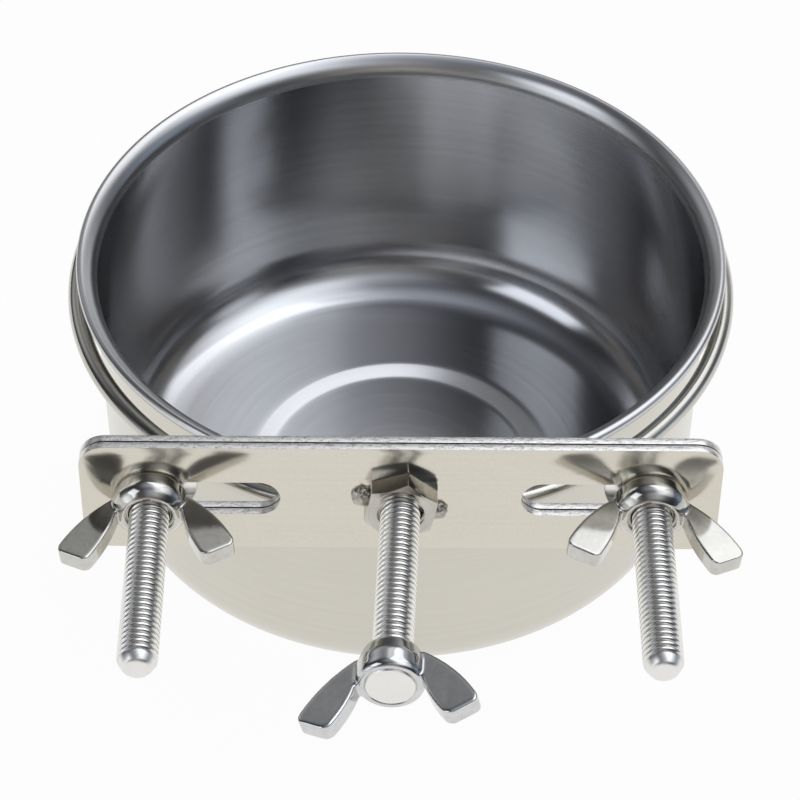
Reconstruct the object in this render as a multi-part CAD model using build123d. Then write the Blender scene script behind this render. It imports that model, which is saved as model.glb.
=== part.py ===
from build123d import *
import math
import os

# Seed cup in a wire ring holder that is clamped to cage wires, in millimetres.
# The origin is the middle of the rear plate's gripping face. X runs along the
# plates, Y points back from the plates to the cup, and Z points up.

# Clamp plates
plate_width = 94.5
plate_height = 20.8
plate_thickness = 1.2
plate_corner = 4.0
jaw_gap = 0.25              # between the plates as stored

# Side bolts and the slots they slide in
thread_diameter = 5.9       # over the crests of an M6 thread
bolt_length = 36.2          # under the head
bolt_end_distance = 10.3    # from a plate's end to the bolt's axis as stored
bolt_tip_chamfer = 0.8
bolt_head_diameter = 13.5
bolt_head_height = 3.0
bolt_head_edge = 0.8        # straight rim under the dome
neck_length = 2.2           # square neck that stops the bolt turning
slot_play = 0.35            # each side of the thread
neck_play = 0.2             # each side of the neck
slot_end_play = 0.2
slot_inner_spacing = 35.6   # between the inner ends of the two slots

# Wing nuts
nut_diameter = 11.2
nut_height = 4.3
nut_chamfer = 1.5
thread_play = 0.08          # each side, between a thread and its nut
nut_mouth_diameter = 7.6    # countersink in the outer face
wing_span = 26.4            # across the sharp corners, before rounding
wing_height = 13.4          # from the nut's seat to the wings' ends, before rounding
wing_thickness = 2.8
wing_root_height = 1.2      # where a wing leaves the side of the nut
wing_tip_width = 5.2
wing_tip_lean = 27.0        # degrees between a wing's end and the plates
wing_tip_round = 1.2
wing_outer_bow = 0.85       # how far a wing's long edges stand out at their middle
wing_inner_bow = 0.45
left_wing_turn = 4.0        # degrees about the bolt, as stored
right_wing_turn = -5.0

# Lock screw: nut welded to the front plate, stud and wing
lock_nut_flats = 10.0
lock_nut_height = 3.2
lock_nut_turn = 19.0
lock_hole_play = 0.35       # each side of the stud in both plates
lock_reach = 36.5           # from the front plate to the stud's outer end
lock_wing_height = 6.0      # height of the wing's round body
lock_wing_diameter = 10.0
lock_wing_chamfer = 0.6
lock_wing_turn = 14.0
lock_lean_share = 0.8       # of the play in the lock nut's thread, to the left as stored
lock_end_diameter = 7.4     # outer end, spread in the wing's countersink
lock_end_play = 0.2
lock_tip_gap = 0.3          # between the stud and the cup's rim
tack_diameter = 3.4
tack_height = 1.5
tack_angles = (173.0, -20.0)

# Cup
rim_diameter = 105.0
rim_roll_diameter = 2.5
rim_drop = 2.0              # from the lock screw's axis down to the rim
rim_roll_sweep = 276.0      # degrees of the rolled edge
sheet_thickness = 0.6
cup_depth = 48.8            # from the rim's centre to the underside
wall_lean = 1.7             # degrees
base_corner = 10.0
foot_diameter = 44.8
foot_drop = 0.8
foot_slope = 3.8

# Wire ring and its welds
wire_diameter = 3.0
ring_play = 0.65            # each side of the cup with the cup in the middle
cup_seat_gap = 0.2          # left at the back, where the lock screw pushes the cup
rim_ring_gap = 2.5          # between the rim and the ring
weld_length = 7.0
weld_diameter = 2.6
weld_offset = 8.0           # from the middle to each weld's centre

# Worked-out sizes
thread_radius = thread_diameter / 2
nut_bore_radius = thread_radius + thread_play
slot_width = thread_diameter + 2 * slot_play
neck_width = slot_width - 2 * neck_play
bolt_x = plate_width / 2 - bolt_end_distance
front_face_y = -jaw_gap - plate_thickness
rim_radius = rim_diameter / 2
roll_radius = rim_roll_diameter / 2
rim_z = -rim_drop
wire_radius = wire_diameter / 2
ring_below_rim = roll_radius + rim_ring_gap + wire_radius
ring_z = rim_z - ring_below_rim
lean = math.radians(wall_lean)
roll_center_radius = rim_radius - roll_radius
wall_inside_roll = roll_radius - sheet_thickness
wall_radius_at_ring = (
    roll_center_radius - wall_inside_roll / math.cos(lean) - ring_below_rim * math.tan(lean)
)
ring_inner_radius = wall_radius_at_ring + ring_play
ring_center_radius = ring_inner_radius + wire_radius
ring_y = plate_thickness + ring_center_radius + wire_radius
cup_y = ring_y + ring_play - cup_seat_gap
lock_end_y = front_face_y - lock_reach
lock_tip_y = cup_y - rim_radius - lock_tip_gap
lock_pivot_y = front_face_y - lock_nut_height / 2
lock_lean = math.degrees(math.atan(2 * lock_lean_share * thread_play / lock_nut_height))


def along_y(shape, y):
    """Turn a shape built along Z so that it runs towards -Y from the given y."""
    return Pos(0, y, 0) * Rot(90, 0, 0) * shape


def disc(radius, low, high):
    """Round bar on the Z axis between two heights."""
    return Pos(0, 0, low) * Cylinder(radius, high - low, align=(Align.CENTER, Align.CENTER, Align.MIN))


def taper(low_radius, high_radius, low, high):
    """Cone on the Z axis between two heights."""
    cone = Cone(low_radius, high_radius, high - low, align=(Align.CENTER, Align.CENTER, Align.MIN))
    return Pos(0, 0, low) * cone


def slot_ends():
    """Inner and outer end of a slot, from the middle of the plate."""
    half_neck = neck_width / 2
    half_slot = slot_width / 2
    arc_depth = math.sqrt(half_slot**2 - half_neck**2)
    outer = bolt_x + half_neck - arc_depth + half_slot + slot_end_play
    return slot_inner_spacing / 2, outer


def clamp_plate(front_y):
    """Rounded plate with two slots and a middle hole, front face at front_y."""
    inner, outer = slot_ends()
    outline = RectangleRounded(plate_width, plate_height, plate_corner)
    for side in (-1, 1):
        outline -= Pos(side * (inner + outer) / 2, 0) * SlotOverall(outer - inner, slot_width)
    outline -= Circle(thread_radius + lock_hole_play)
    return along_y(extrude(outline, plate_thickness), front_y + plate_thickness)


def side_bolt(x):
    """Round-headed bolt with a square neck, its head against the rear plate."""
    edge = bolt_head_edge
    rise = bolt_head_height - edge
    radius = bolt_head_diameter / 2
    dome_radius = (radius**2 + rise**2) / (2 * rise)
    dome = Pos(0, 0, dome_radius - rise - edge) * Sphere(dome_radius)
    head = disc(radius, -bolt_head_height, 0) & dome
    neck = extrude(Rectangle(neck_width, neck_width), neck_length)
    shank = disc(thread_radius, 0, bolt_length - bolt_tip_chamfer)
    tip_radius = thread_radius - bolt_tip_chamfer
    shank += taper(thread_radius, tip_radius, bolt_length - bolt_tip_chamfer, bolt_length)
    return Pos(x, 0, 0) * along_y(head + neck + shank, plate_thickness)


def bowed(start, end, bow):
    """Arc between two points that stands out to the right of its chord by bow."""
    chord = Vector(*end) - Vector(*start)
    middle = (Vector(*start) + Vector(*end)) / 2
    return ThreePointArc(start, middle + Vector(chord.Y, -chord.X).normalized() * bow, end)


def wing_outline(radius, chamfer, body_height):
    """One wing, seen along its thickness: X outwards, Y away from the nut's seat."""
    tip_lean = math.radians(wing_tip_lean)
    root = nut_bore_radius + (radius - nut_bore_radius) / 2
    low_root = (radius, wing_root_height)
    high_root = (radius - chamfer / 2, body_height)
    outer_tip = (wing_span / 2, wing_height - wing_tip_width * math.sin(tip_lean))
    inner_tip = (wing_span / 2 - wing_tip_width * math.cos(tip_lean), wing_height)
    outline = [
        Polyline(high_root, (root, body_height - chamfer), (root, wing_root_height), low_root),
        bowed(low_root, outer_tip, wing_outer_bow),
        Line(outer_tip, inner_tip),
        bowed(inner_tip, high_root, wing_inner_bow),
    ]
    face = make_face(Curve() + outline)
    tips = face.vertices().sort_by(Axis.Y)[-2:]
    return fillet(tips, wing_tip_round)


def winged_nut(radius, chamfer, body_height, mouth_radius):
    """Round nut with two wings, its seat on Z = 0 and its wings along X."""
    body = disc(radius, 0, body_height - chamfer)
    body += taper(radius, radius - chamfer, body_height - chamfer, body_height)
    wing = Rot(90, 0, 0) * extrude(wing_outline(radius, chamfer, body_height), wing_thickness / 2, both=True)
    body = body + wing + Rot(0, 0, 180) * wing
    mouth_depth = mouth_radius - nut_bore_radius
    body -= disc(nut_bore_radius, -body_height, 2 * body_height)
    body -= taper(nut_bore_radius, mouth_radius, body_height - mouth_depth, body_height)
    return body


def seated_wing_nut(x, turn):
    """Wing nut on a side bolt, seated on the front plate."""
    nut = Rot(0, 0, turn) * winged_nut(nut_diameter / 2, nut_chamfer, nut_height, nut_mouth_diameter / 2)
    return Pos(x, 0, 0) * along_y(nut, front_face_y)


def leaned(shape):
    """Lean a piece of the lock screw about the middle of the lock nut, in its thread's play."""
    return Pos(0, lock_pivot_y, 0) * Rot(0, 0, -lock_lean) * Pos(0, -lock_pivot_y, 0) * shape


def lock_wing():
    """Winged thumb piece whose outer face is flush with the stud's end."""
    mouth_radius = lock_end_diameter / 2 + lock_end_play
    wing = winged_nut(lock_wing_diameter / 2, lock_wing_chamfer, lock_wing_height, mouth_radius)
    return leaned(along_y(Rot(0, 0, lock_wing_turn) * wing, lock_end_y + lock_wing_height))


def lock_stud():
    """Stud with its outer end spread into the wing's countersink."""
    length = lock_tip_y - lock_end_y
    end_radius = lock_end_diameter / 2
    end_depth = end_radius - thread_radius
    stud = taper(thread_radius - bolt_tip_chamfer, thread_radius, 0, bolt_tip_chamfer)
    stud += disc(thread_radius, bolt_tip_chamfer, length - end_depth)
    stud += taper(thread_radius, end_radius, length - end_depth, length)
    return leaned(along_y(stud, lock_tip_y))


def lock_nut():
    """Hexagon nut with chamfered corners, welded to the front plate."""
    corner_radius = lock_nut_flats / math.sqrt(3)
    nut = extrude(RegularPolygon(corner_radius, 6, rotation=lock_nut_turn), lock_nut_height)
    chamfer_depth = (corner_radius - lock_nut_flats / 2) * math.tan(math.radians(30))
    crown = disc(corner_radius, 0, lock_nut_height - chamfer_depth)
    crown += taper(corner_radius, lock_nut_flats / 2, lock_nut_height - chamfer_depth, lock_nut_height)
    nut = (nut & crown) - disc(nut_bore_radius, -lock_nut_height, 2 * lock_nut_height)
    return along_y(nut, front_face_y)


def nut_weld_tacks(nut):
    """Two domes of weld beside the lock nut, cut to fit its flats."""
    tacks = []
    radius = tack_diameter / 2
    dome_radius = (radius**2 + tack_height**2) / (2 * tack_height)
    for angle in tack_angles:
        dome = disc(radius, 0, tack_height) & Pos(0, 0, tack_height - dome_radius) * Sphere(dome_radius)
        place = PolarLocations(lock_nut_flats / 2 + radius / 2, 1, start_angle=angle).locations[0]
        tacks.append((along_y(place * dome, front_face_y) - nut).solids().sort_by(SortBy.VOLUME)[-1])
    return Compound(tacks)


def cup_section():
    """Half section of the cup's sheet: X outwards from the axis, Y up from the rim."""
    normal = Vector(math.cos(lean), -math.sin(lean))
    roll_center = Vector(roll_center_radius, 0)
    base = -cup_depth
    corner_y = base + base_corner
    corner_x = (
        (roll_center - normal * wall_inside_roll).dot(normal) - base_corner + corner_y * math.sin(lean)
    ) / math.cos(lean)
    corner = Vector(corner_x, corner_y)
    inner_corner = base_corner - sheet_thickness
    middle = Vector(math.cos(math.radians(-45) - lean / 2), math.sin(math.radians(-45) - lean / 2))
    slope_inset = sheet_thickness * math.tan(math.atan2(foot_drop, foot_slope) / 2)
    foot_edge = foot_diameter / 2
    roll_start = 180 - wall_lean
    outer_roll = CenterArc(roll_center, roll_radius, roll_start, -rim_roll_sweep)
    inner_roll = CenterArc(roll_center, wall_inside_roll, roll_start, -rim_roll_sweep)
    outside = [
        Polyline(
            (0, base - foot_drop),
            (foot_edge, base - foot_drop),
            (foot_edge + foot_slope, base),
            (corner_x, base),
        ),
        ThreePointArc((corner_x, base), corner + middle * base_corner, corner + normal * base_corner),
        Line(corner + normal * base_corner, inner_roll @ 0),
        inner_roll,
        Line(inner_roll @ 1, outer_roll @ 1),
    ]
    inside_base = base + sheet_thickness
    inside = [
        outer_roll,
        Line(outer_roll @ 0, corner + normal * inner_corner),
        ThreePointArc(
            corner + normal * inner_corner,
            corner + middle * inner_corner,
            (corner_x, inside_base),
        ),
        Polyline(
            (corner_x, inside_base),
            (foot_edge + foot_slope - slope_inset, inside_base),
            (foot_edge - slope_inset, inside_base - foot_drop),
            (0, inside_base - foot_drop),
            (0, base - foot_drop),
        ),
    ]
    return make_face(Curve() + outside + inside)


def cup():
    """Cup turned from its section, on the ring's axis but pushed back to its seat."""
    return Pos(0, cup_y, rim_z) * revolve(Plane.XZ * cup_section(), Axis.Z)


def wire_ring():
    """Closed ring of round wire, touching the back of the rear plate."""
    return Pos(0, ring_y, ring_z) * Torus(ring_center_radius, wire_radius)


def ring_weld_beads(ring):
    """Two weld beads on top of the wire, against the back of the rear plate."""
    beads = []
    for side in (-1, 1):
        bar = Rot(0, 90, 0) * Cylinder(weld_diameter / 2, weld_length - weld_diameter)
        for end in (-1, 1):
            bar += Pos(end * (weld_length - weld_diameter) / 2, 0, 0) * Sphere(weld_diameter / 2)
        bar = Pos(side * weld_offset, plate_thickness, ring_z + wire_radius) * bar
        behind = Pos(0, plate_thickness, ring_z) * Box(
            plate_width, plate_width, plate_height, align=(Align.CENTER, Align.MIN, Align.CENTER)
        )
        beads.append(((bar & behind) - ring).solids().sort_by(SortBy.VOLUME)[-1])
    return Compound(beads)


ring = wire_ring()
welded_nut = lock_nut()
nodes = {
    "cup": cup(),
    "wire_ring": ring,
    "ring_weld_beads": ring_weld_beads(ring),
    "rear_plate": clamp_plate(0),
    "front_plate": clamp_plate(front_face_y),
    "lock_nut": welded_nut,
    "nut_weld_tacks": nut_weld_tacks(welded_nut),
    "left_bolt": side_bolt(-bolt_x),
    "right_bolt": side_bolt(bolt_x),
    "left_wing_nut": seated_wing_nut(-bolt_x, left_wing_turn),
    "right_wing_nut": seated_wing_nut(bolt_x, right_wing_turn),
    "lock_stud": lock_stud(),
    "lock_wing": lock_wing(),
}

os.makedirs("parts", exist_ok=True)
for name, shape in nodes.items():
    export_step(shape, f"parts/{name}.step")
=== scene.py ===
import math

import bmesh
import bpy
from mathutils import Matrix, Vector, noise


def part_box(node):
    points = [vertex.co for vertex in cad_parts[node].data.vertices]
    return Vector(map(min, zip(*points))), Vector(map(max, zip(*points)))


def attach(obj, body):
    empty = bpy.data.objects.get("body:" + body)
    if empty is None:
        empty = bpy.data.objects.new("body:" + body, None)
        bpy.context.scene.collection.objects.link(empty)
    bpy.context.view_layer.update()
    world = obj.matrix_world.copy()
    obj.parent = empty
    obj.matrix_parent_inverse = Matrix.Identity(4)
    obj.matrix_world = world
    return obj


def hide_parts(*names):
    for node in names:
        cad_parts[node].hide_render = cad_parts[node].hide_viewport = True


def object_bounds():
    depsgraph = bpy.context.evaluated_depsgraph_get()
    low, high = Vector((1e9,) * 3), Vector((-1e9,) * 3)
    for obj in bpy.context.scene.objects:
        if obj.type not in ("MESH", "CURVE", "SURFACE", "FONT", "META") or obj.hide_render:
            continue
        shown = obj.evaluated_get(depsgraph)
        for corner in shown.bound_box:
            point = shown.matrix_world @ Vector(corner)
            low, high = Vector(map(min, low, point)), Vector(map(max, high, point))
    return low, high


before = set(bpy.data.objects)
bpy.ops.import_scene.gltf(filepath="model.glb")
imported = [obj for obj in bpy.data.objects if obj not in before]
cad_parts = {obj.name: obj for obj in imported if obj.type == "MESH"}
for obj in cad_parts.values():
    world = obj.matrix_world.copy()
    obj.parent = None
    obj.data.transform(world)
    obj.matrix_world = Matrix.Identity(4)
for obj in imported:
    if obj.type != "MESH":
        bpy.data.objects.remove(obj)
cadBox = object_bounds()
print("frame loaded:", len(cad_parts), "nodes")

unit = 0.001  # shapes are drawn in millimetres
fullTurn = math.tau


def nodeBox(node):  # corners of a CAD node in millimetres
    low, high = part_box(node)
    return low / unit, high / unit


# Shader maths


class Wire:  # one socket, so that sums on it add Math nodes
    def __init__(self, tree, socket=None):
        self.tree = tree
        self.socket = socket

    def node(self, kind, settings, inputs, output=0):
        made = self.tree.nodes.new(kind)
        for key, value in settings.items():
            setattr(made, key, value)
        for key, value in inputs.items():
            if isinstance(value, Wire):
                self.tree.links.new(value.socket, made.inputs[key])
            else:
                made.inputs[key].default_value = value
        return Wire(self.tree, made.outputs[output])

    def sum(self, operation, first, second):
        return self.node("ShaderNodeMath", {"operation": operation}, {0: first, 1: second})

    def __add__(self, other):
        return self.sum("ADD", self, other)

    def __radd__(self, other):
        return self.sum("ADD", other, self)

    def __sub__(self, other):
        return self.sum("SUBTRACT", self, other)

    def __rsub__(self, other):
        return self.sum("SUBTRACT", other, self)

    def __mul__(self, other):
        return self.sum("MULTIPLY", self, other)

    def __rmul__(self, other):
        return self.sum("MULTIPLY", other, self)

    def __truediv__(self, other):
        return self.sum("DIVIDE", self, other)

    def __rtruediv__(self, other):
        return self.sum("DIVIDE", other, self)

    def __pow__(self, other):
        return self.sum("POWER", self, other)

    def __rpow__(self, other):
        return self.sum("POWER", other, self)


# Modelling helpers, in millimetres


def outline(bm, points, closed=False):  # a line through a few points in X and Z
    verts = [bm.verts.new((x, 0, z)) for x, z in points]
    pairs = list(zip(verts, verts[1:]))
    if closed:
        pairs.append((verts[-1], verts[0]))
    for pair in pairs:
        bm.edges.new(pair)
    return verts


def roundCorners(bm, verts, reach, segments):
    bmesh.ops.bevel(
        bm, geom=verts, offset=reach, offset_type="OFFSET", segments=segments,
        profile=0.5, affect="VERTICES", material=-1,
    )


def swing(bm, vert, centre, degrees, steps):  # drags a point round a centre in X and Z
    last = bmesh.ops.spin(
        bm, geom=[vert], cent=(centre[0], 0, centre[1]), axis=(0, 1, 0),
        angle=math.radians(degrees), steps=steps,
    )["geom_last"]
    return next(v for v in last if isinstance(v, bmesh.types.BMVert))


def bow(bm, vert, end, rise, steps):  # drags a point along an arc, which stands out to the right
    start = Vector((vert.co.x, vert.co.z))
    chord = Vector(end) - start
    length = chord.length
    left = Vector((-chord.y, chord.x)) / length
    centre = start + chord / 2 + left * ((length / 2) ** 2 - rise ** 2) / (2 * rise)
    return swing(bm, vert, centre, -math.degrees(4 * math.atan(2 * rise / length)), steps)


def softenEdges(bm, angle, width, segments):  # bevels every edge sharper than angle
    edges = [e for e in bm.edges if e.is_manifold and e.calc_face_angle() > math.radians(angle)]
    bmesh.ops.bevel(
        bm, geom=edges, offset=width, offset_type="OFFSET", segments=segments,
        profile=0.5, affect="EDGES", material=-1, clamp_overlap=True,
    )


def tidy(bm, gap=0.0005):
    bmesh.ops.remove_doubles(bm, verts=bm.verts, dist=gap)
    bmesh.ops.dissolve_degenerate(bm, edges=bm.edges, dist=gap)
    bmesh.ops.recalc_face_normals(bm, faces=bm.faces)
    return bm


def turn(bm, steps):  # spins the whole outline about Z
    bmesh.ops.spin(
        bm, geom=bm.verts[:] + bm.edges[:], cent=(0, 0, 0), axis=(0, 0, 1),
        angle=fullTurn, steps=steps, use_merge=True,
    )
    return tidy(bm)


def turned(points, steps, rounds=(), closed=True):  # rounds: corner number, reach, segments
    bm = bmesh.new()
    verts = outline(bm, points, closed)
    for corner, reach, segments in rounds:
        roundCorners(bm, [verts[corner]], reach, segments)
    return turn(bm, steps)


def thicken(bm, way):  # pulls flat faces out along a vector
    pulled = bmesh.ops.extrude_face_region(bm, geom=bm.faces[:])["geom"]
    moved = [v for v in pulled if isinstance(v, bmesh.types.BMVert)]
    bmesh.ops.translate(bm, vec=way, verts=moved)


def roundedBar(length, width, reach, thick, segments):  # plate in X and Y, from Z 0 up
    bm = bmesh.new()
    bmesh.ops.create_grid(bm, x_segments=1, y_segments=1, size=0.5)
    bmesh.ops.scale(bm, vec=(length, width, 1), verts=bm.verts)
    roundCorners(bm, bm.verts[:], reach, segments)
    tidy(bm)
    thicken(bm, (0, 0, thick))
    bmesh.ops.recalc_face_normals(bm, faces=bm.faces)
    return bm


def cutOff(bm, level, way):  # takes off what lies past a level of Z, and closes the cut
    cut = bmesh.ops.bisect_plane(
        bm, geom=bm.verts[:] + bm.edges[:] + bm.faces[:], dist=0.0001,
        plane_co=(0, 0, level), plane_no=(0, 0, way), clear_outer=True,
    )["geom_cut"]
    bmesh.ops.edgeloop_fill(bm, edges=[e for e in cut if isinstance(e, bmesh.types.BMEdge)])


def merged(shapes):  # several shapes in one mesh
    bm = bmesh.new()
    for shape in shapes:
        mesh = bpy.data.meshes.new("part")
        shape.to_mesh(mesh)
        shape.free()
        bm.from_mesh(mesh)
        bpy.data.meshes.remove(mesh)
    return bm


def modified(bm, others, build):  # a shape after the modifiers that build adds
    objects = []
    for shape in [bm, *others]:
        mesh = bpy.data.meshes.new("shape")
        shape.to_mesh(mesh)
        shape.free()
        made = bpy.data.objects.new("shape", mesh)
        bpy.context.scene.collection.objects.link(made)
        objects.append(made)
    build(objects[0], objects[1:])
    graph = bpy.context.evaluated_depsgraph_get()
    mesh = bpy.data.meshes.new_from_object(objects[0].evaluated_get(graph))
    result = bmesh.new()
    result.from_mesh(mesh)
    bpy.data.meshes.remove(mesh)
    for made in objects:
        bpy.data.meshes.remove(made.data)
    return result


def combined(bm, others, operation):
    def build(made, tools):
        for tool in tools:
            step = made.modifiers.new("combine", "BOOLEAN")
            step.operation = operation
            step.solver = "EXACT"
            step.object = tool
    return modified(bm, others, build)


def blended(bm, voxel, rounds):  # one skin over everything, with soft corners
    def build(made, tools):
        step = made.modifiers.new("skin", "REMESH")
        step.mode = "VOXEL"
        step.voxel_size = voxel
    bm = modified(bm, [], build)
    for _ in range(rounds):
        bmesh.ops.smooth_vert(
            bm, verts=bm.verts, factor=0.5, use_axis_x=True, use_axis_y=True, use_axis_z=True,
        )
    return bm


def alongBolt(x, y):  # turns Z up to -Y, which points at the viewer
    return Matrix.Translation((x, y, 0)) @ Matrix.Rotation(math.radians(90), 4, "X")


def addPiece(bm, name, body, node, materials, sharp, place=None):
    if place is not None:
        bm.transform(place)
    bm.transform(Matrix.Scale(unit, 4))
    mesh = bpy.data.meshes.new(name)
    bm.to_mesh(mesh)
    bm.free()
    for material in materials:
        mesh.materials.append(material)
    mesh.shade_smooth()
    mesh.set_sharp_from_angle(angle=math.radians(sharp))
    made = bpy.data.objects.new(name, mesh)
    bpy.context.scene.collection.objects.link(made)
    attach(made, body)
    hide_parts(node)
    print("piece", name, "faces", len(mesh.polygons))


# Cup

cupSize = {
    "rollRadius": 0.5,      # of the sheet's middle in the rolled edge
    "rollSweep": 211,       # degrees
    "rollSteps": 28,
    "flareRadius": 3.3,     # of the lip that leads from the wall into the roll
    "flareSweep": 65,
    "flareSteps": 14,
    "sheet": 0.6,
    "lean": 1.0,            # degrees of the wall
    "corner": 9.7,
    "cornerSteps": 24,
    "footRadius": 22.4,
    "footSlope": 3.8,
    "footDrop": 0.8,
    "footRound": 0.8,
    "footSteps": 6,
    "around": 224,
    "sharp": 40,            # degrees from which an edge is shaded as one
}


def shapeCup():
    size = cupSize
    low, high = nodeBox("cup")
    half = size["sheet"] / 2
    rimRadius = (high.x - low.x) / 2
    roll = Vector((rimRadius - size["rollRadius"] - half, high.z - size["rollRadius"] - half))
    lean = math.radians(size["lean"])
    bent = lean + math.radians(size["flareSweep"])
    flare = roll + Vector((math.cos(bent), -math.sin(bent))) * (size["flareRadius"] - size["rollRadius"])
    wallTop = flare - Vector((math.cos(lean), -math.sin(lean))) * size["flareRadius"]
    base = low.z + half
    step = base + size["footDrop"]
    bm = bmesh.new()
    line = outline(bm, [
        (0, base),
        (size["footRadius"], base),
        (size["footRadius"] + size["footSlope"], step),
        (wallTop.x - (wallTop.y - step) * math.tan(lean), step),
        wallTop,
    ])
    lip = swing(bm, line[4], flare, size["flareSweep"], size["flareSteps"])
    swing(bm, lip, roll, size["rollSweep"], size["rollSteps"])
    roundCorners(bm, [line[3]], size["corner"], size["cornerSteps"])
    roundCorners(bm, [line[1], line[2]], size["footRound"], size["footSteps"])
    turn(bm, size["around"])

    def build(made, tools):
        wall = made.modifiers.new("sheet", "SOLIDIFY")
        wall.thickness = size["sheet"]
        wall.offset = 0
        wall.use_even_offset = True
    bm = modified(bm, [], build)
    mouth = Vector((0, 0, roll.y))
    for face in bm.faces:  # 0 inside, 1 outside, 2 rim
        middle = face.calc_center_median()
        if middle.z > wallTop.y:
            face.material_index = 2
        else:
            face.material_index = 0 if face.normal.dot(mouth - middle) > 0 else 1
    centre = (low + high) / 2
    return bm, Matrix.Translation((centre.x, centre.y, 0))


# Wire ring

ringSize = {"around": 256, "wireSides": 28, "sharp": 60}


def shapeRing():
    low, high = nodeBox("wire_ring")
    wire = (high.z - low.z) / 2
    bm = bmesh.new()
    bmesh.ops.create_circle(bm, radius=wire, segments=ringSize["wireSides"])
    bmesh.ops.rotate(bm, matrix=Matrix.Rotation(math.radians(90), 3, "X"), verts=bm.verts)
    bmesh.ops.translate(bm, vec=((high.x - low.x) / 2 - wire, 0, 0), verts=bm.verts)
    turn(bm, ringSize["around"])
    return bm, Matrix.Translation((low + high) / 2)


# Clamp plates

plateSize = {
    "corner": 4.0,
    "cornerSteps": 10,
    "slotWidth": 6.6,
    "slotRound": 0.4999,    # share of the slot's width, just under a half
    "slotSteps": 12,
    "slotInner": 17.8,      # from the middle to a slot's inner end
    "slotOuter": 42.41,
    "hole": 3.3,
    "holeSides": 48,
    "cutPast": 1.0,         # that the cutters stand out on each side
    "edge": 0.14,           # rounding of the sheared edges
    "edgeAngle": 60,
    "edgeSteps": 3,
    "faceOut": 0.9,         # least share of a flat face's normal that points out of the plate
    "sharp": 35,
}


def shapePlate(node):
    size = plateSize
    low, high = nodeBox(node)
    thick = high.y - low.y
    deep = thick + 2 * size["cutPast"]
    bm = roundedBar(high.x - low.x, high.z - low.z, size["corner"], thick, size["cornerSteps"])
    cutters = []
    slotLength = size["slotOuter"] - size["slotInner"]
    slotRound = size["slotWidth"] * size["slotRound"]
    for side in (-1, 1):
        slot = roundedBar(slotLength, size["slotWidth"], slotRound, deep, size["slotSteps"])
        middle = side * (size["slotOuter"] + size["slotInner"]) / 2
        bmesh.ops.translate(slot, vec=(middle, 0, -size["cutPast"]), verts=slot.verts)
        cutters.append(slot)
    hole = bmesh.new()
    radius = size["hole"]
    bmesh.ops.create_cone(
        hole, cap_ends=True, segments=size["holeSides"], radius1=radius, radius2=radius, depth=deep,
    )
    bmesh.ops.translate(hole, vec=(0, 0, thick / 2), verts=hole.verts)
    bm = combined(bm, [*cutters, hole], "DIFFERENCE")
    tidy(bm)
    softenEdges(bm, size["edgeAngle"], size["edge"], size["edgeSteps"])
    for face in bm.faces:  # 0 flat face, 1 sheared edge
        face.material_index = 0 if abs(face.normal.z) > size["faceOut"] else 1
    return bm, alongBolt((low.x + high.x) / 2, high.y)


# Threads

threadSize = {
    "pitch": 1.0,
    "depth": 0.42,
    "steps": 44,            # round one turn
    "ridge": (              # share of the pitch, share of the depth
        (0, 1), (0.04, 1), (0.09, 0.9), (0.24, 0.08), (0.29, 0),
        (0.71, 0), (0.76, 0.08), (0.91, 0.9), (0.96, 1),
    ),
    "spare": 2,             # turns past each end, which are cut off
    "chamfer": 0.75,
}


def threadedRod(radius, low, high, chamferLow, chamferHigh):
    size = threadSize
    pitch, spare = size["pitch"], size["spare"]
    bm = bmesh.new()
    points = []
    for ridge in range(int((high - low) / pitch) + 2 * spare):
        for along, depth in size["ridge"]:
            points.append((radius - depth * size["depth"], low + (ridge - spare + along) * pitch))
    outline(bm, points)
    bmesh.ops.spin(
        bm, geom=bm.verts[:] + bm.edges[:], cent=(0, 0, 0), axis=(0, 0, 1),
        dvec=(0, 0, pitch / size["steps"]), angle=fullTurn, steps=size["steps"],
    )
    tidy(bm)
    cutOff(bm, low, -1)
    cutOff(bm, high, 1)
    for vert in bm.verts:
        most = radius
        if chamferHigh:
            most = min(most, radius - (vert.co.z - high + chamferHigh))
        if chamferLow:
            most = min(most, radius - (low + chamferLow - vert.co.z))
        reach = vert.co.xy.length
        if reach > most:
            vert.co.x *= most / reach
            vert.co.y *= most / reach
    return tidy(bm)


# Side bolts

boltSize = {
    "thread": 2.95,         # radius over the crests
    "length": 36.2,
    "headRadius": 6.75,
    "headHeight": 3.0,
    "headEdge": 0.8,
    "headRound": 0.25,
    "headSides": 64,
    "domeSteps": 12,
    "neck": 6.2,
    "neckLength": 2.2,
    "neckSink": 0.6,        # of the neck into the head
    "neckRound": 0.25,
    "neckAngle": 60,        # degrees from which its edges are rounded
    "threadSink": 1.0,      # of the thread into the neck
    "threadStop": 0.7,      # share of the tip's length that the thread leaves free
    "tipLength": 1.5,       # bare cone at the outer end
    "tipRadius": 1.95,
    "tipRound": 0.5,
    "tipRoot": 2.8,
    "tipRootRound": 0.12,
    "tipStep": 0.3,         # along the bolt, from the core out to the cone
    "tipSides": 48,
    "core": 2.3,            # inside the thread
    "coreLength": 4.0,      # from the outer end
    "sharp": 40,
}


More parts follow.
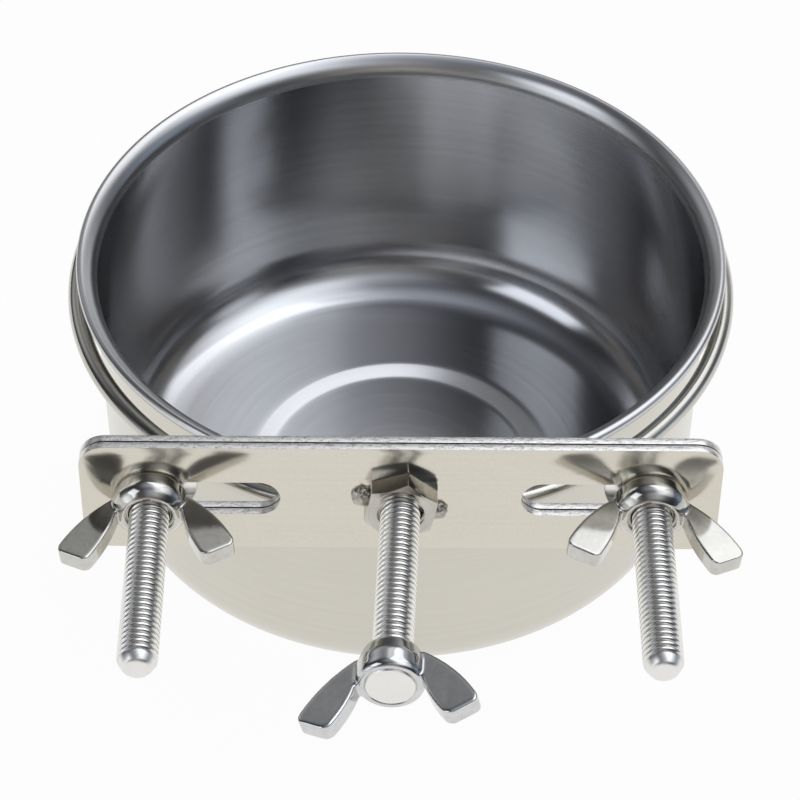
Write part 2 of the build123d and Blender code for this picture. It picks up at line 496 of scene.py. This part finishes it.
def shapeBolt(node):
    size = boltSize
    near, far = nodeBox(node)
    rise = size["headHeight"] - size["headEdge"]
    dome = (size["headRadius"] ** 2 + rise ** 2) / (2 * rise)  # radius of the head's crown
    head = bmesh.new()
    line = outline(head, [(0, 0), (size["headRadius"], 0), (size["headRadius"], -size["headEdge"])])
    sweep = math.degrees(math.asin(size["headRadius"] / dome))
    swing(head, line[2], (0, dome - size["headHeight"]), sweep, size["domeSteps"])
    roundCorners(head, [line[1], line[2]], size["headRound"], 3)
    turn(head, size["headSides"])
    neck = bmesh.new()
    neckHeight = size["neckLength"] + size["neckSink"]
    bmesh.ops.create_cube(neck, size=1)
    bmesh.ops.scale(neck, vec=(size["neck"], size["neck"], neckHeight), verts=neck.verts)
    bmesh.ops.translate(neck, vec=(0, 0, neckHeight / 2 - size["neckSink"]), verts=neck.verts)
    softenEdges(neck, size["neckAngle"], size["neckRound"], 2)
    top = size["length"]
    cone = top - size["tipLength"]
    low = size["neckLength"] - size["threadSink"]
    high = top - size["tipLength"] * size["threadStop"]
    rod = threadedRod(size["thread"], low, high, 0, threadSize["chamfer"])
    tip = turned(
        [
            (0, top - size["coreLength"]), (size["core"], top - size["coreLength"]),
            (size["core"], cone - size["tipStep"]), (size["tipRoot"], cone),
            (size["tipRadius"], top), (0, top),
        ],
        size["tipSides"], [(3, size["tipRootRound"], 2), (4, size["tipRound"], 5)], closed=False,
    )
    bm = combined(head, [neck, rod, tip], "UNION")
    return bm, alongBolt((near.x + far.x) / 2, far.y - size["headHeight"])


# Wing nuts and the lock wing

wingSize = {
    "bore": 3.03,
    "thick": 2.8,
    "rootHeight": 1.2,
    "outerTip": (13.2, 11.04),
    "outerBow": 0.85,       # how far the long edges stand out at their middle
    "outerSteps": 9,
    "innerTip": (8.57, 13.4),
    "innerBow": 0.45,
    "innerSteps": 7,
    "tipRound": 1.1,
    "tipSteps": 5,
    "seatRound": 0.3,
    "sides": 96,
    "join": 0.001,          # gap closed where the outline's ends meet
    "voxel": 0.13,
    "sharp": 80,
}
sideNutSize = {
    "radius": 5.6,
    "seat": 5.6,            # radius against the plate
    "waist": 0.6,           # height at which the body reaches its full radius
    "height": 4.3,
    "chamfer": 1.5,
    "shoulder": 0.9,        # rounding of the chamfer's outer edge
    "mouth": 3.8,
    "turn": {"left": 4.0, "right": -5.0},
    "smooth": 8,
}
lockWingSize = {
    "radius": 5.0,
    "seat": 4.2,
    "waist": 2.8,
    "height": 6.0,
    "chamfer": 0.6,
    "shoulder": 0.5,
    "mouth": 3.9,
    "turn": 14.0,
    "smooth": 16,
}


def shapeWings(size, bend):
    wing = wingSize
    bore, mouth, top = wing["bore"], size["mouth"], size["height"]
    radius, chamfer = size["radius"], size["chamfer"]
    body = turned(
        [
            (bore, 0), (size["seat"], 0), (radius, size["waist"]), (radius, top - chamfer),
            (radius - chamfer, top), (mouth, top), (bore, top - mouth + bore),
        ],
        wing["sides"],
        [(1, wing["seatRound"], 3), (3, size["shoulder"], 5), (4, size["shoulder"] / 2, 4)],
    )
    ears = []
    root = (bore + radius) / 2
    crest = (radius - chamfer / 2, top)
    for side in (-1, 1):
        ear = bmesh.new()
        line = outline(ear, [
            crest, (root, top - chamfer), (root, wing["rootHeight"]), (radius, wing["rootHeight"]),
        ])
        outer = bow(ear, line[3], wing["outerTip"], wing["outerBow"], wing["outerSteps"])
        inner = outline(ear, [wing["innerTip"]])[0]
        ear.edges.new((outer, inner))
        bow(ear, inner, crest, wing["innerBow"], wing["innerSteps"])
        bmesh.ops.remove_doubles(ear, verts=ear.verts, dist=wing["join"])
        bmesh.ops.contextual_create(ear, geom=ear.edges[:])
        roundCorners(ear, [outer, inner], wing["tipRound"], wing["tipSteps"])
        thicken(ear, (0, wing["thick"], 0))
        bmesh.ops.translate(ear, vec=(0, -wing["thick"] / 2, 0), verts=ear.verts)
        bmesh.ops.scale(ear, vec=(side, 1, 1), verts=ear.verts)
        tidy(ear)
        ears.append(ear)
    bm = combined(body, ears, "UNION")
    bm = blended(bm, wing["voxel"], size["smooth"])
    bm.transform(Matrix.Rotation(math.radians(bend), 4, "Z"))
    return bm


# Lock nut and stud

lockSize = {
    "flats": 10.0,
    "height": 3.2,
    "turn": 19.0,
    "crown": 30,            # degrees of the chamfer at the corners
    "crownInset": 0.25,     # from the flats to the round top
    "crownSides": 96,
    "nutEdge": 0.18,
    "nutEdgeAngle": 50,
    "nutSharp": 25,
    "mouth": 3.55,
    "boreSides": 64,
    "cutPast": 1.0,
    "reach": 36.5,          # from the front plate to the stud's outer end
    "tipGap": 0.3,          # between the stud and the cup
    "lean": 2.29,           # degrees to the left, in the play of the thread
    "threadStop": 1.5,      # from the outer end, as are the two ends of the core
    "coreFrom": 4.0,
    "coreTo": 2.0,
    "coreInset": 0.7,       # of the core's radius under the crests
    "flareFrom": 0.4,       # more than the flare is high, from the outer end
    "endRadius": 3.7,
    "endEdge": (0.2, 0.25),  # chamfer, inwards and back
    "endSides": 64,
    "endDepth": 0.6,        # of the end that has no thread in its finish
}


def shapeLockNut():
    size = lockSize
    low, high = nodeBox("lock_nut")
    height = size["height"]
    corner = size["flats"] / math.sqrt(3)
    bm = bmesh.new()
    bmesh.ops.create_cone(bm, cap_ends=True, segments=6, radius1=corner, radius2=corner, depth=height)
    bmesh.ops.translate(bm, vec=(0, 0, height / 2), verts=bm.verts)
    softenEdges(bm, size["nutEdgeAngle"], size["nutEdge"], 3)
    bm.transform(Matrix.Rotation(math.radians(size["turn"] - 90), 4, "Z"))
    roundTop = size["flats"] / 2 - size["crownInset"]
    drop = (corner - roundTop) * math.tan(math.radians(size["crown"]))
    crown = turned(
        [(0, 0), (corner, 0), (corner, height - drop), (roundTop, height), (0, height)],
        size["crownSides"], closed=False,
    )
    bm = combined(bm, [crown], "INTERSECT")
    bore, mouth, past = wingSize["bore"], size["mouth"], size["cutPast"]
    hole = turned(
        [
            (0, -past), (bore, -past), (bore, height - mouth + bore), (mouth, height),
            (mouth, height + past), (0, height + past),
        ],
        size["boreSides"], closed=False,
    )
    bm = combined(bm, [hole], "DIFFERENCE")
    tidy(bm)
    return bm, alongBolt((low.x + high.x) / 2, high.y)


def lockPivot():  # middle of the lock nut, along Y
    low, high = nodeBox("lock_nut")
    return (low.y + high.y) / 2


def lockEnd():
    return nodeBox("front_plate")[0].y - lockSize["reach"]


def alongLock(y):  # as alongBolt, with the lean of the lock screw
    pivot = Matrix.Translation((0, lockPivot(), 0))
    lean = Matrix.Rotation(-math.radians(lockSize["lean"]), 4, "Z")
    return pivot @ lean @ pivot.inverted() @ alongBolt(0, y)


def shapeStud():
    size = lockSize
    radius = boltSize["thread"]
    tip = nodeBox("cup")[0].y - size["tipGap"]
    length = tip - lockEnd()
    core = radius - size["coreInset"]
    wide = size["endRadius"]
    flare = wide - radius
    inwards, back = size["endEdge"]
    rod = threadedRod(radius, 0, length - size["threadStop"], threadSize["chamfer"], 0)
    end = turned(
        [
            (0, length - size["coreFrom"]), (core, length - size["coreFrom"]),
            (core, length - size["coreTo"]), (radius, length - flare - size["flareFrom"]),
            (wide, length - back), (wide - inwards, length), (0, length),
        ],
        size["endSides"], closed=False,
    )
    bm = combined(end, [rod], "UNION")
    return bm, alongLock(tip)


# Weld tacks of the lock nut, weld beads of the ring

weldSize = {
    "tackRadius": 1.7,
    "tackHeight": 1.5,
    "tackAngles": (173.0, -20.0),
    "tackSeed": 1,
    "beadLength": 7.0,
    "beadRadius": 1.3,
    "beadOffset": 8.0,      # from the middle of the plate
    "beadSeed": 5,
    "fineness": 4,
    "core": 0.9,            # of a ball of radius 1, before it is drawn out
    "swell": 0.16,
    "swellScale": 1.7,
    "ripple": 0.07,
    "rippleScale": 2.6,     # times as fine as the swell
    "stride": (7.3, 3.1, 5.7),  # through the noise, from one seed to the next
    "sharp": 60,
}


def lump(radius, length, height, seed):  # a bead of weld along X, standing on Z 0
    size = weldSize
    bm = bmesh.new()
    bmesh.ops.create_icosphere(bm, subdivisions=size["fineness"], radius=1)
    for vert in bm.verts:
        spot = vert.co * size["swellScale"] + Vector(size["stride"]) * seed
        swell = size["swell"] * noise.noise(spot)
        vert.co *= size["core"] + swell + size["ripple"] * noise.noise(spot * size["rippleScale"])
    bmesh.ops.scale(bm, vec=(length / 2, radius, height), verts=bm.verts)
    cutOff(bm, 0, -1)
    return tidy(bm)


def shapeTacks():
    size = weldSize
    radius = size["tackRadius"]
    tacks = []
    for seed, angle in enumerate(size["tackAngles"], size["tackSeed"]):
        tack = lump(radius, radius * 2, size["tackHeight"], seed)
        bmesh.ops.translate(tack, vec=((lockSize["flats"] + radius) / 2, 0, 0), verts=tack.verts)
        tack.transform(Matrix.Rotation(math.radians(angle), 4, "Z"))
        tacks.append(tack)
    return merged(tacks), alongBolt(0, nodeBox("nut_weld_tacks")[1].y)


def shapeBeads():
    size = weldSize
    low, high = nodeBox("ring_weld_beads")
    radius = size["beadRadius"]
    beads = []
    for seed, side in enumerate((-1, 1), size["beadSeed"]):
        bead = lump(radius, size["beadLength"], radius, seed)
        bead.transform(Matrix.Rotation(math.radians(-90), 4, "X"))
        spot = (side * size["beadOffset"], low.y, (low.z + high.z) / 2)
        bmesh.ops.translate(bead, vec=spot, verts=bead.verts)
        beads.append(bead)
    return merged(beads), None


# Finishes


def newFinish(name, look):  # look: the values that are the same all over the surface
    material = bpy.data.materials.new(name)
    material.use_nodes = True
    tree = material.node_tree
    shader = tree.nodes["Principled BSDF"]
    for key, value in look.items():
        shader.inputs[key].default_value = value
    return material, shader, Wire(tree).node("ShaderNodeTexCoord", {}, {}, "Object")


def feed(shader, socket, wire):
    wire.tree.links.new(wire.socket, shader.inputs[socket])


def parts(place):  # X, Y and Z of a vector
    first = place.node("ShaderNodeSeparateXYZ", {}, {0: place})
    return [Wire(place.tree, output) for output in first.socket.node.outputs]


def stretched(place, scale, shift=(0, 0, 0), lean=0.0):  # lean about Z, in radians
    return place.node("ShaderNodeMapping", {}, {
        "Vector": place, "Location": shift, "Rotation": (0, 0, lean), "Scale": scale,
    })


def roundPath(place, node, lines, drift):  # for lines that run round a node's middle
    low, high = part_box(node)
    centre = (low + high) / 2
    x, y, z = parts(stretched(place, (1, 1, 1), (-centre.x, -centre.y, 0)))
    radius = (x * x + y * y) ** 0.5
    return place.node("ShaderNodeCombineXYZ", {}, {0: radius * lines, 1: z * lines, 2: (x + y) * drift})


def cloud(place, scale, detail, seed=0.0):
    return place.node(
        "ShaderNodeTexNoise", {"noise_dimensions": "4D"},
        {"Vector": place, "W": seed, "Scale": scale, "Detail": detail},
    )


def ranged(value, fromLow, fromHigh, low=0.0, high=1.0):
    return value.node("ShaderNodeMapRange", {}, {0: value, 1: fromLow, 2: fromHigh, 3: low, 4: high})


def mixed(share, first, second):  # from one colour to another
    return share.node("ShaderNodeMix", {"data_type": "RGBA"}, {0: share, 6: first, 7: second}, 2)


def tint(shader, tone, look):  # from deep to pale over the span of tones
    share = ranged(tone, *look["span"])
    feed(shader, "Base Color", mixed(share, (*look["deep"], 1), (*look["pale"], 1)))


def relief(shader, height, look):
    strength, distance = look["relief"]
    feed(shader, "Normal", height.node(
        "ShaderNodeBump", {}, {"Strength": strength, "Distance": distance, "Height": height},
    ))


spunLook = {
    "inside": {
        "pale": (0.625, 0.625, 0.63), "deep": (0.535, 0.535, 0.54), "span": (0.36, 0.64),
        "roughness": 0.17, "spread": 0.06, "relief": (0.05, 0.00003), "stretch": 0.5,
    },
    "outside": {
        "pale": (0.645, 0.62, 0.555), "deep": (0.605, 0.58, 0.515), "span": (0.36, 0.64),
        "roughness": 0.19, "spread": 0.08, "relief": (0.03, 0.00003), "stretch": 0.5,
    },
    "rim": {
        "pale": (0.67, 0.67, 0.665), "deep": (0.59, 0.59, 0.585), "span": (0.36, 0.64),
        "roughness": 0.29, "spread": 0.06, "relief": (0.04, 0.00003), "stretch": 0.3,
    },
    "lines": 900,           # across the spin lines, to the metre
    "fine": 4.3,            # times as close for the finest of them
    "drift": 14,            # along them
    "smears": 42,
}


def spunSteel(side):
    look = spunLook[side]
    material, shader, place = newFinish(
        "spunSteel." + side,
        {"Metallic": 1, "Anisotropic": look["stretch"], "Anisotropic Rotation": 0.25},
    )
    path = roundPath(place, "cup", spunLook["lines"], spunLook["drift"])
    grain = cloud(path, 1, 3) * 0.55 + cloud(path, spunLook["fine"], 2, 3.0) * 0.45
    smears = cloud(place, spunLook["smears"], 4)
    tint(shader, grain * 0.55 + smears * 0.45, look)
    feed(shader, "Roughness", look["roughness"] + (grain + smears - 1) * look["spread"])
    relief(shader, grain, look)
    return material


sheetLook = {
    "pale": (0.69, 0.655, 0.575),
    "deep": (0.645, 0.61, 0.53),
    "span": (0.38, 0.62),
    "roughness": 0.16,
    "relief": (0.04, 0.00004),  # strength, metres
    "grain": (40, 1, 1800),  # along the plate, through it, up it
    "speck": 2600,
    "smears": 60,
}


def sheetSteel():
    look = sheetLook
    material, shader, place = newFinish("rolledSheet", {"Metallic": 1})
    grain = cloud(stretched(place, look["grain"]), 1, 3)
    speck = cloud(place, look["speck"], 2, 1.0)
    smears = cloud(place, look["smears"], 4, 2.0)
    tint(shader, grain * 0.22 + speck * 0.38 + smears * 0.4, look)
    feed(shader, "Roughness", look["roughness"] + (grain - 0.5) * 0.04 + (smears - 0.5) * 0.1)
    relief(shader, grain * 0.35 + speck * 0.65, look)
    return material


edgeLook = {
    "pale": (0.86, 0.85, 0.825),
    "deep": (0.46, 0.45, 0.43),
    "span": (0.36, 0.52),
    "roughness": 0.32,
    "relief": (0.4, 0.00018),
    "tear": (900, 2200, 700),
    "chips": 2800,
}


def shearedEdge():
    look = edgeLook
    material, shader, place = newFinish("shearedEdge", {"Metallic": 1})
    tear = cloud(stretched(place, look["tear"]), 1, 4)
    chips = cloud(place, look["chips"], 2, 4.0)
    tone = tear * 0.6 + chips * 0.4
    tint(shader, tone, look)
    feed(shader, "Roughness", look["roughness"] + (chips - 0.5) * 0.2)
    relief(shader, tone, look)
    return material


threadLook = {
    "pale": (0.88, 0.87, 0.84),  # painted light on the crests and the bare end
    "deep": (0.6, 0.59, 0.565),  # painted shade at the roots
    "span": (0, 1),
    "roughness": 0.2,
    "rootRoughness": 0.12,  # added at the roots
    "tipRoughness": 0.14,   # added on the bare end
    "relief": (0.15, 0.00004),
    "depth": (2.53, 2.85),  # radius at the root and near the crest, over which the painted shade turns into painted light
    "bareEdge": 0.15,       # softness of the bare end's edge, as a share of its length
    "smears": 160,
    "speck": (1500, 700, 1500),
}


def rolledThread(name, middle, end, bare, lean=0.0):  # bare: length without thread at the outer end
    look = threadLook
    material, shader, place = newFinish(name, {"Metallic": 1})
    x, y, z = parts(stretched(place, (1, 1, 1), (-middle * unit, 0, 0), math.radians(lean)))
    rootRadius, crestRadius = look["depth"]
    # height across the thread, from 0 at the roots to 1 at the crests: it lays painted shade in the roots
    # and adds roughness there
    height = ranged((x * x + z * z) ** 0.5, rootRadius * unit, crestRadius * unit)
    soft = bare * look["bareEdge"]
    plain = ranged(y, (end + bare + soft) * unit, (end + bare - soft) * unit)
    height = height.sum("MAXIMUM", height, plain)
    smears = cloud(place, look["smears"], 4)
    speck = cloud(stretched(place, look["speck"]), 1, 3, 2.0)
    # painted shade in the thread roots and painted light on the crests and the bare end, with random smears
    # and specks
    tint(shader, height * 0.75 + smears * 0.35 + speck * 0.2 - 0.15, look)
    rough = look["roughness"] + (1 - height) * look["rootRoughness"] + plain * look["tipRoughness"]
    feed(shader, "Roughness", rough + (smears - 0.5) * 0.1)
    relief(shader, speck, look)
    return material


castLook = {
    "nickelCast": {
        "pale": (0.64, 0.625, 0.58), "deep": (0.5, 0.49, 0.46), "span": (0.34, 0.62),
        "roughness": 0.13, "relief": (0.05, 0.0003),
    },
    "brightCast": {
        "pale": (0.68, 0.685, 0.68), "deep": (0.54, 0.545, 0.54), "span": (0.34, 0.62),
        "roughness": 0.1, "relief": (0.05, 0.0003),
    },
    "swell": 190,
    "pits": 1300,
    "rubbed": (500, 90, 500),
}


def platedCasting(name):
    look = castLook[name]
    material, shader, place = newFinish(name, {"Metallic": 1})
    swell = cloud(place, castLook["swell"], 2)
    pits = cloud(place, castLook["pits"], 4, 3.0)
    rubbed = cloud(stretched(place, castLook["rubbed"]), 1, 3, 5.0)
    tint(shader, swell * 0.3 + pits * 0.35 + rubbed * 0.35, look)
    feed(shader, "Roughness", look["roughness"] + (pits - 0.5) * 0.1 + (rubbed - 0.5) * 0.1)
    relief(shader, swell * 0.85 + pits * 0.15, look)
    return material


turnedLook = {
    "pale": (0.57, 0.55, 0.5),
    "deep": (0.42, 0.4, 0.365),
    "span": (0.36, 0.64),
    "roughness": 0.1,
    "relief": (0.1, 0.00005),
    "rings": (5200, 900, 120),  # out from the bore, through it, round it
    "smears": 220,
}


def turnedNut():
    look = turnedLook
    material, shader, place = newFinish("turnedNut", {"Metallic": 1})
    x, y, z = parts(place)
    radius = (x * x + z * z) ** 0.5
    out, through, around = look["rings"]
    path = place.node("ShaderNodeCombineXYZ", {}, {0: radius * out, 1: y * through, 2: (x + z) * around})
    rings = cloud(path, 1, 2)
    smears = cloud(place, look["smears"], 4, 2.0)
    tint(shader, rings * 0.4 + smears * 0.6, look)
    feed(shader, "Roughness", look["roughness"] + (rings - 0.5) * 0.12 + (smears - 0.5) * 0.1)
    relief(shader, rings, look)
    return material


wireLook = {
    "pale": (0.6, 0.585, 0.54),
    "deep": (0.5, 0.485, 0.44),
    "span": (0.36, 0.64),
    "roughness": 0.16,
    "relief": (0.12, 0.00004),
    "lines": 2600,          # across the draw lines, to the metre
    "drift": 30,
    "smears": 90,
}


def drawnWire():
    look = wireLook
    material, shader, place = newFinish("drawnWire", {"Metallic": 1})
    drawn = cloud(roundPath(place, "wire_ring", look["lines"], look["drift"]), 1, 3)
    smears = cloud(place, look["smears"], 4, 1.0)
    tint(shader, drawn * 0.4 + smears * 0.6, look)
    feed(shader, "Roughness", look["roughness"] + (drawn + smears - 1) * 0.12)
    relief(shader, drawn, look)
    return material


weldLook = {
    "pale": (0.6, 0.57, 0.52),
    "deep": (0.34, 0.31, 0.27),
    "span": (0.38, 0.6),
    "roughness": 0.32,
    "relief": (0.5, 0.0002),
    "scale": 900,
    "soot": 420,
}


def weldMetal():
    look = weldLook
    material, shader, place = newFinish("weldMetal", {"Metallic": 1})
    scale = cloud(place, look["scale"], 4)
    soot = cloud(place, look["soot"], 3, 6.0)
    tint(shader, soot * 0.5 + scale * 0.5, look)
    feed(shader, "Roughness", look["roughness"] + (scale - 0.5) * 0.4)
    relief(shader, scale, look)
    return material


cupFinish = [spunSteel(side) for side in ("inside", "outside", "rim")]
plateFinish = [sheetSteel(), shearedEdge()]
nickelFinish = [platedCasting("nickelCast")]
brightFinish = [platedCasting("brightCast")]
nutFinish = [turnedNut()]
wireFinish = [drawnWire()]
weldFinish = [weldMetal()]
print("finishes made:", len(bpy.data.materials))


# Pieces

bm, place = shapeCup()
addPiece(bm, "drawnCup", "cup", "cup", cupFinish, cupSize["sharp"], place)
bm, place = shapeRing()
addPiece(bm, "wireRing", "holder", "wire_ring", wireFinish, ringSize["sharp"], place)
bm, place = shapeBeads()
addPiece(bm, "ringWelds", "holder", "ring_weld_beads", weldFinish, weldSize["sharp"], place)
for node, name, body in (("rear_plate", "rearPlate", "holder"), ("front_plate", "frontPlate", "jaw")):
    bm, place = shapePlate(node)
    addPiece(bm, name, body, node, plateFinish, plateSize["sharp"], place)
for side in ("left", "right"):
    node = side + "_bolt"
    low, high = nodeBox(node)
    middle = (low.x + high.x) / 2
    finish = rolledThread("rolledThread." + side, middle, low.y, boltSize["tipLength"])
    bm, place = shapeBolt(node)
    addPiece(bm, side + "Bolt", node, node, [finish], boltSize["sharp"], place)
    node = side + "_wing_nut"
    bm = shapeWings(sideNutSize, sideNutSize["turn"][side])
    place = alongBolt(middle, nodeBox("front_plate")[0].y)
    addPiece(bm, side + "WingNut", node, node, nickelFinish, wingSize["sharp"], place)
bm, place = shapeLockNut()
addPiece(bm, "lockNut", "jaw", "lock_nut", nutFinish, lockSize["nutSharp"], place)
bm, place = shapeTacks()
addPiece(bm, "nutTacks", "jaw", "nut_weld_tacks", weldFinish, weldSize["sharp"], place)
bm, place = shapeStud()
lean = lockSize["lean"]
middle = -lockPivot() * math.sin(math.radians(lean))
finish = rolledThread("rolledThread.stud", middle, lockEnd(), lockSize["endDepth"], lean)
addPiece(bm, "lockStud", "lock_stud", "lock_stud", [finish], boltSize["sharp"], place)
bm = shapeWings(lockWingSize, lockWingSize["turn"])
place = alongLock(lockEnd() + lockWingSize["height"])
addPiece(bm, "lockWing", "lock_wing", "lock_wing", brightFinish, wingSize["sharp"], place)


# Studio, with turn and rise in degrees: turn goes from +Y towards +X

studio = {
    "dim": (0.015, 0.015, 0.016),  # light from where no lamp stands
    "lamps": (              # round and soft: gather is how closely one keeps to its middle
        {"turn": 0, "rise": 88, "gather": 14, "light": (0.4, 0.43, 0.5)},
        {"turn": 100, "rise": 66, "gather": 30, "light": (0.75, 0.8, 0.85)},
        {"turn": 90, "rise": 48, "gather": 30, "light": (0.64, 0.66, 0.68)},
        {"turn": 120, "rise": 48, "gather": 30, "light": (0.66, 0.71, 0.76)},
        {"turn": 150, "rise": 48, "gather": 30, "light": (0.58, 0.61, 0.66)},
        {"turn": 180, "rise": 48, "gather": 30, "light": (0.27, 0.28, 0.32)},
        {"turn": 0, "rise": 48, "gather": 30, "light": (0.52, 0.53, 0.54)},
        {"turn": -48, "rise": 28, "gather": 30, "light": (0.5, 0.51, 0.55)},
        {"turn": -24, "rise": 28, "gather": 30, "light": (0.26, 0.26, 0.26)},
        {"turn": -120, "rise": 4, "gather": 14, "light": (1.4, 1.45, 1.52)},
        {"turn": 180, "rise": 4, "gather": 14, "light": (0.63, 0.58, 0.52)},
        {"turn": 30, "rise": 4, "gather": 14, "light": (0.68, 0.69, 0.73)},
        {"turn": 90, "rise": 4, "gather": 14, "light": (0.29, 0.36, 0.48)},
    ),
    "panels": (             # square and soft: half sizes at a distance of 1
        {"turn": 70, "rise": 58, "wide": 1.0, "high": 0.53, "soft": 0.14, "light": (0.39, 0.39, 0.42)},
        {"turn": 42, "rise": 58, "wide": 0.36, "high": 0.4, "soft": 0.05, "light": (1.0, 1.03, 1.07)},
        {"turn": -119, "rise": 36, "wide": 0.27, "high": 0.21, "soft": 0.04, "light": (1.2, 1.27, 1.4)},
    ),
    "facing": (0.1, 0.05),  # how far a ray must face a panel to meet it, and how softly that starts
    "floorColour": (0.92, 0.92, 0.92, 1),
    "floorRoughness": 0.9,
    "floorWhite": 0.96,     # share of the floor that stays white where it is seen
    "floorFar": 0.3,        # of that share far off, where the metal mirrors it
    "floorFade": (0.2, 0.9),  # metres from the object's middle
    "floorSpan": 6.0,
}


def soften(distance, soft):  # 0 outside an edge, 1 inside it
    return distance.node(
        "ShaderNodeMapRange", {"interpolation_type": "SMOOTHSTEP"},
        {0: distance, 1: -soft, 2: soft, 3: 0.0, 4: 1.0},
    )


def along(direction, way):
    return direction.node("ShaderNodeVectorMath", {"operation": "DOT_PRODUCT"}, {0: direction, 1: way}, 1)


def aimed(lamp):  # the way to a lamp
    turnBy = math.radians(lamp["turn"])
    rise = math.radians(lamp["rise"])
    return Vector((math.sin(turnBy) * math.cos(rise), math.cos(turnBy) * math.cos(rise), math.sin(rise)))


def lampGlow(direction, lamp):
    return math.e ** ((along(direction, aimed(lamp)) - 1) * lamp["gather"])


def panelGlow(direction, panel):
    turnBy = math.radians(panel["turn"])
    aim = aimed(panel)
    level = Vector((math.cos(turnBy), -math.sin(turnBy), 0))
    above = level.cross(aim)
    least, soft = studio["facing"]
    ahead = along(direction, aim)
    depth = ahead.sum("MAXIMUM", ahead, soft)
    across = along(direction, level) / depth
    upward = along(direction, above) / depth
    inside = soften(panel["wide"] - across.sum("ABSOLUTE", across, 0.0), panel["soft"])
    inside = inside * soften(panel["high"] - upward.sum("ABSOLUTE", upward, 0.0), panel["soft"])
    return inside * soften(ahead - least, soft)


def addStudio():
    world = bpy.data.worlds.new("studio")
    bpy.context.scene.world = world
    world.use_nodes = True
    tree = world.node_tree
    direction = Wire(tree).node("ShaderNodeTexCoord", {}, {}, "Generated")
    total = studio["dim"]
    for shape, lamps in ((lampGlow, studio["lamps"]), (panelGlow, studio["panels"])):
        for lamp in lamps:
            glow = shape(direction, lamp)
            lit = glow.node("ShaderNodeVectorMath", {"operation": "SCALE"}, {0: lamp["light"], 3: glow})
            total = lit.node("ShaderNodeVectorMath", {"operation": "ADD"}, {0: lit, 1: total})
    white = studio["floorWhite"]  # seen past the floor's end
    camera = Wire(tree).node("ShaderNodeLightPath", {}, {}, "Is Camera Ray")
    feed(tree.nodes["Background"], "Color", mixed(camera, total, (white, white, white, 1)))


def addFloor():
    bm = bmesh.new()
    bmesh.ops.create_grid(bm, x_segments=1, y_segments=1, size=studio["floorSpan"] / 2)
    bmesh.ops.translate(bm, vec=(0, 0, cadBox[0].z), verts=bm.verts)
    mesh = bpy.data.meshes.new("floor")
    bm.to_mesh(mesh)
    bm.free()
    material, shader, place = newFinish("paleFloor", {
        "Base Color": studio["floorColour"], "Roughness": studio["floorRoughness"], "Specular IOR Level": 0,
    })
    tree = material.node_tree
    names = ("Is Camera Ray", "Is Glossy Ray", "Is Transmission Ray")
    camera, glossy, through = (place.node("ShaderNodeLightPath", {}, {}, name) for name in names)
    mirrored = glossy + through
    middle = (cadBox[0] + cadBox[1]) / 2
    x, y, z = parts(stretched(place, (1, 1, 1), (-middle.x, -middle.y, 0)))
    fade = ranged((x * x + y * y) ** 0.5, *studio["floorFade"], 1.0, studio["floorFar"])
    share = (camera + mirrored.sum("MINIMUM", mirrored, 1.0) * fade) * studio["floorWhite"]
    white = share.node("ShaderNodeEmission", {}, {"Color": (1, 1, 1, 1), "Strength": 1.0})
    both = share.node("ShaderNodeMixShader", {}, {0: share, 1: Wire(tree, shader.outputs[0]), 2: white})
    feed(tree.nodes["Material Output"], "Surface", both)
    mesh.materials.append(material)
    floor = bpy.data.objects.new("floor", mesh)
    bpy.context.scene.collection.objects.link(floor)


addStudio()
addFloor()
print("studio made")


# Camera

cameraView = {
    "place": (-1.83, -312.67, 320.32),  # millimetres
    "lookDown": 43.94,                  # degrees
    "turn": -0.29,
    "roll": -0.55,
    "lens": 135.8,
    "sensor": 36,
}


def addCamera():
    down = math.radians(cameraView["lookDown"])
    around = math.radians(cameraView["turn"])
    roll = math.radians(cameraView["roll"])
    ahead = Vector((-math.sin(around) * math.cos(down), math.cos(around) * math.cos(down), -math.sin(down)))
    level = Vector((math.cos(around), math.sin(around), 0))
    below = ahead.cross(level)
    right = math.cos(roll) * level + math.sin(roll) * below
    under = -math.sin(roll) * level + math.cos(roll) * below
    data = bpy.data.cameras.new("camera")
    data.lens = cameraView["lens"]
    data.sensor_width = cameraView["sensor"]
    made = bpy.data.objects.new("camera", data)
    turnTo = Matrix((right, -under, -ahead)).transposed().to_4x4()
    made.matrix_world = Matrix.Translation(Vector(cameraView["place"]) * unit) @ turnTo
    bpy.context.scene.collection.objects.link(made)
    bpy.context.scene.camera = made


addCamera()
bpy.context.scene.view_settings.view_transform = "Standard"
print("camera set")
